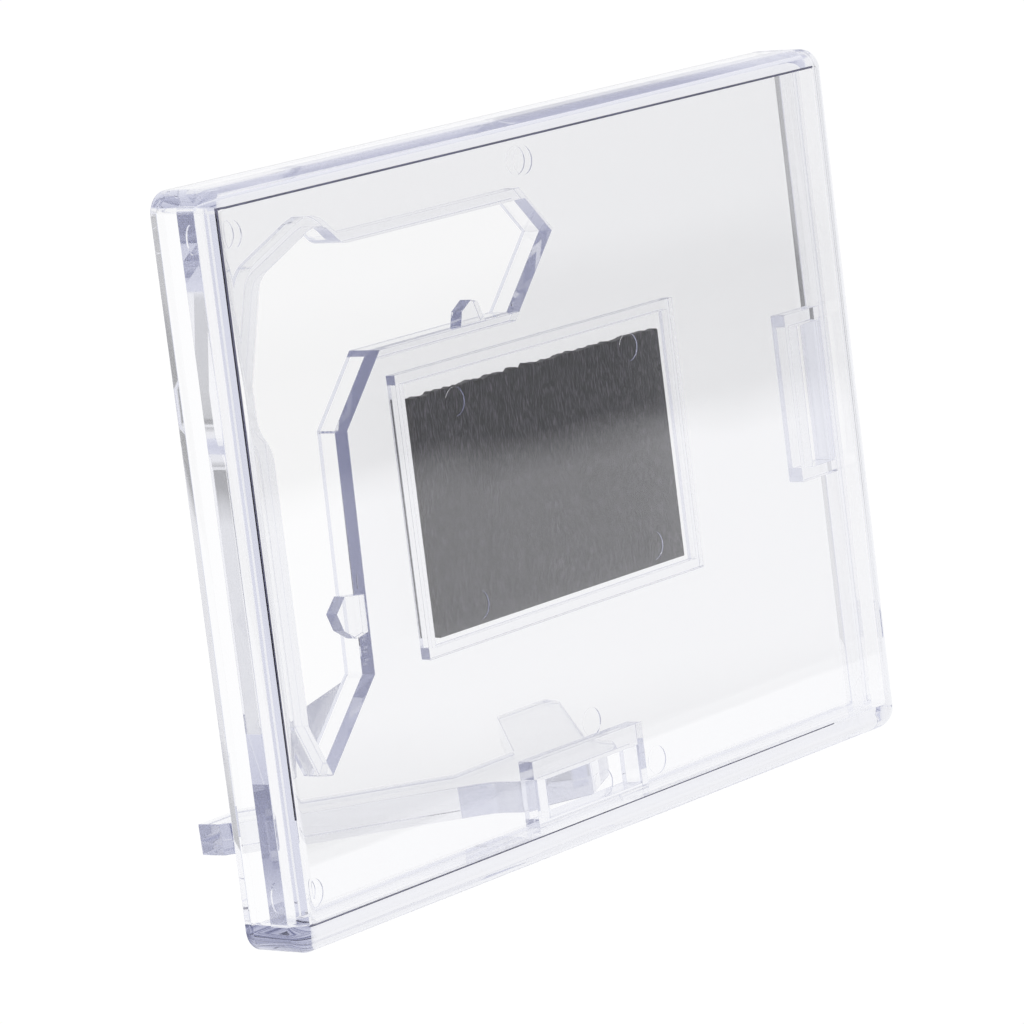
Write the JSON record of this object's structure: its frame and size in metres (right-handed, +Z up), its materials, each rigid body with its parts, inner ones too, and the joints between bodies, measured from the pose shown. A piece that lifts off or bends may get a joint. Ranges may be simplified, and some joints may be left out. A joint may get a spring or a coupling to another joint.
{
  "type": "magnetic photo stand",
  "caption": "Clear shallow box frame for a wallet-size print, with a snap-in magnetic back plate and a flat V-shaped stand leg plugged into its lower edge.",
  "frame": {"origin": "middle of the footprint, on the surface the frame and its leg stand on", "axes": "+X to the viewer's right along the frame, +Y away from the viewer towards the leg, +Z up; the frame leans back by 6.2 degrees"},
  "size_m": [0.0944, 0.034, 0.0708],
  "materials": {
    "clear_shell": "polished clear polystyrene",
    "clear_plate": "polished clear polystyrene",
    "clear_leg": "polished clear polystyrene",
    "magnet": "matt"
  },
  "bodies": {
    "shell": {"front_shell": "clear_shell"},
    "plate": {"back_plate": "clear_plate", "magnet_sheet": "magnet"},
    "leg": {"stand_leg": "clear_leg"}
  },
  "joints": [
    {"name": "plate_release", "type": "slide", "parent": "shell", "child": "plate", "axis": [0, 0.9942, -0.1073], "range_m": [0, 0.01]},
    {"name": "leg_pull", "type": "slide", "parent": "plate", "child": "leg", "axis": [0, 0.9899, -0.1419], "range_m": [0, 0.008]}
  ]
}
